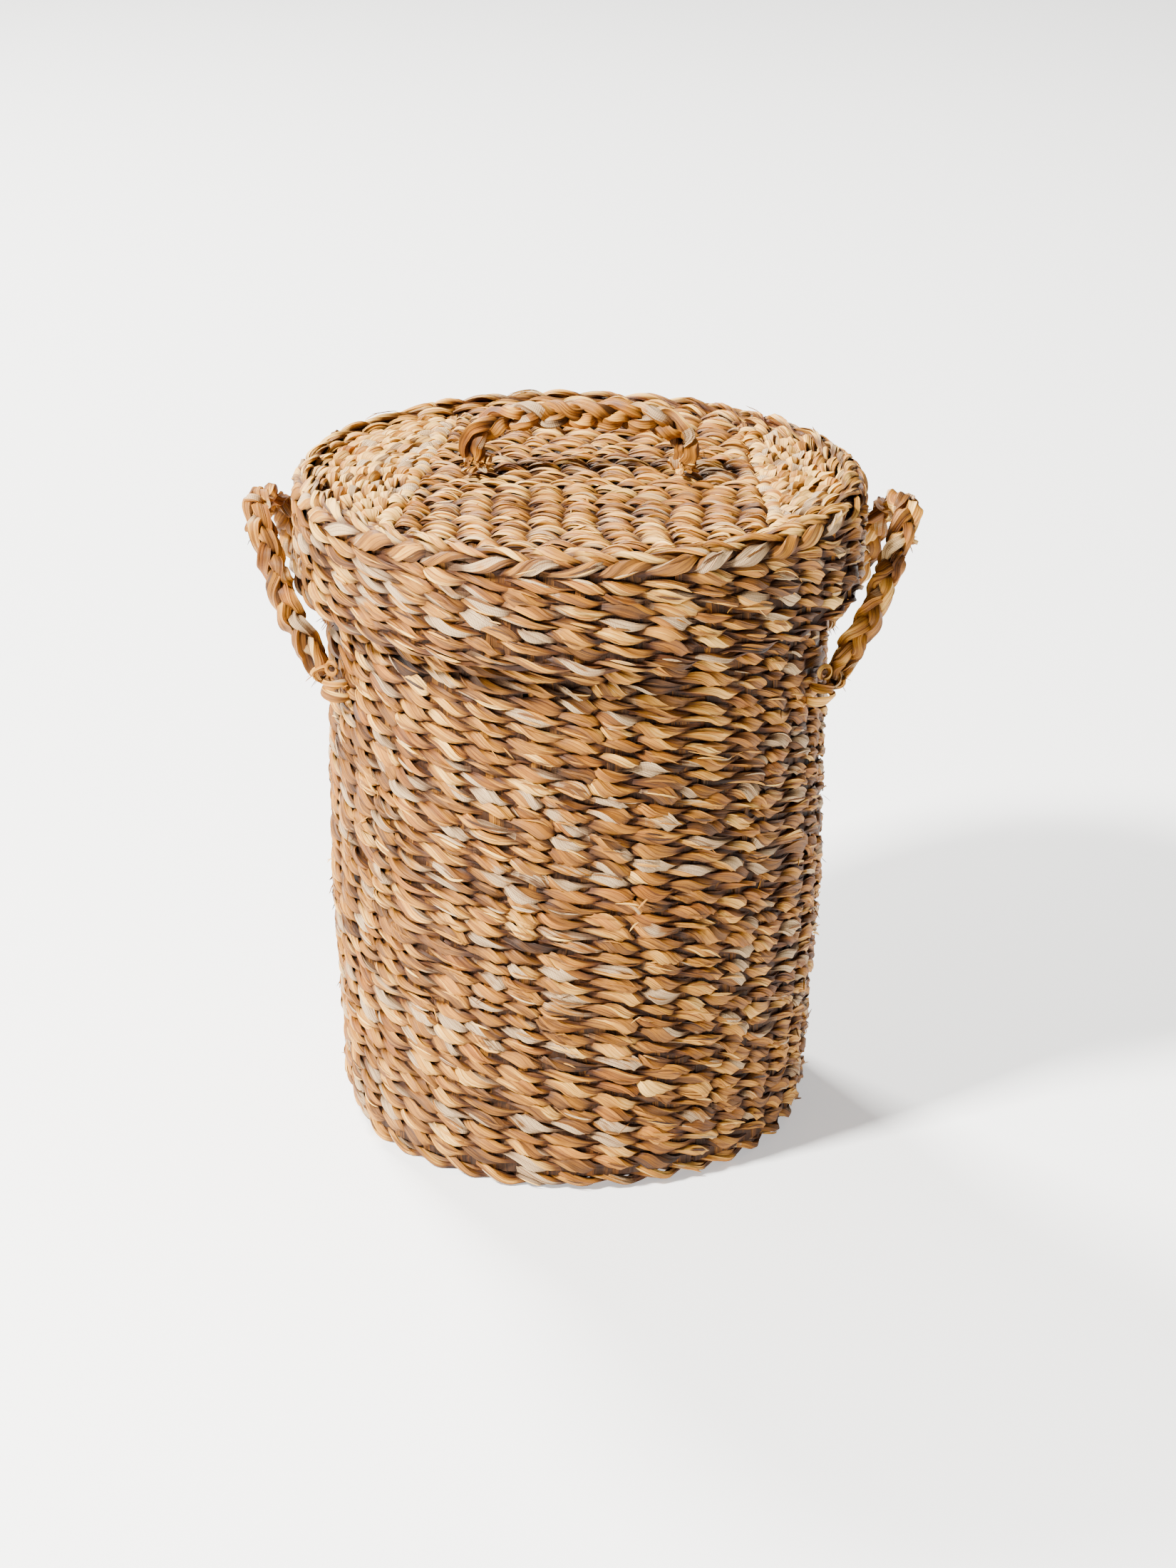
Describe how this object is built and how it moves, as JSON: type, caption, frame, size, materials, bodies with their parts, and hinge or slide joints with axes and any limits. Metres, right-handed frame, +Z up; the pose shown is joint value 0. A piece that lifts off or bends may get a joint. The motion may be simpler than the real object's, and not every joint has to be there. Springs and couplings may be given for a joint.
{
  "type": "lidded woven basket",
  "caption": "Round hand-woven leaf basket with a deep lift-off cap lid, plaited loop handles at the sides and a plaited loop handle on the lid.",
  "frame": {"origin": "middle of the flat underside of the base", "axes": "+Z up through the lid, +X towards the right side handle, -Y the front, as the picture shows it"},
  "size_m": [0.5202, 0.442, 0.584],
  "materials": {
    "weave": "dried twisted leaf, satin, golden tan with paler strands",
    "border": "dried twisted leaf in thicker rope borders",
    "stake": "dried leaf stakes, matt",
    "strand": "dried leaf strands of the plaits, satin",
    "lashing": "dried leaf wraps that tie the handles on"
  },
  "bodies": {
    "basket": {"base_mat": "weave", "foot_border": "border", "wall_stakes": "stake", "wall_weave": "weave", "mouth_border": "border", "left_front_lashing": "lashing", "left_rear_lashing": "lashing", "right_front_lashing": "lashing", "right_rear_lashing": "lashing"},
    "left_handle": {"left_handle_strand_1": "strand", "left_handle_strand_2": "strand", "left_handle_strand_3": "strand"},
    "right_handle": {"right_handle_strand_1": "strand", "right_handle_strand_2": "strand", "right_handle_strand_3": "strand"},
    "lid": {"lid_top_weave": "weave", "lid_stakes": "stake", "lid_rim_border": "border", "lid_skirt_weave": "weave", "lid_skirt_border": "border", "lid_left_lashing": "lashing", "lid_right_lashing": "lashing"},
    "lid_handle": {"lid_handle_strand_1": "strand", "lid_handle_strand_2": "strand", "lid_handle_strand_3": "strand"}
  },
  "joints": [
    {"name": "lid_lift", "type": "slide", "parent": "basket", "child": "lid", "axis": [0, 0, 1], "range_m": [0, 0.3]},
    {"name": "left_handle_swing", "type": "hinge", "parent": "basket", "child": "left_handle", "pos_m": [-0.19676, 0, 0.384], "axis": [0, -1, 0], "range_deg": [0, 150]},
    {"name": "right_handle_swing", "type": "hinge", "parent": "basket", "child": "right_handle", "pos_m": [0.19676, 0, 0.384], "axis": [0, 1, 0], "range_deg": [0, 150]},
    {"name": "lid_handle_tilt", "type": "hinge", "parent": "lid", "child": "lid_handle", "pos_m": [0, -0.01, 0.5353], "axis": [1, 0, 0], "range_deg": [-65, 65]}
  ]
}
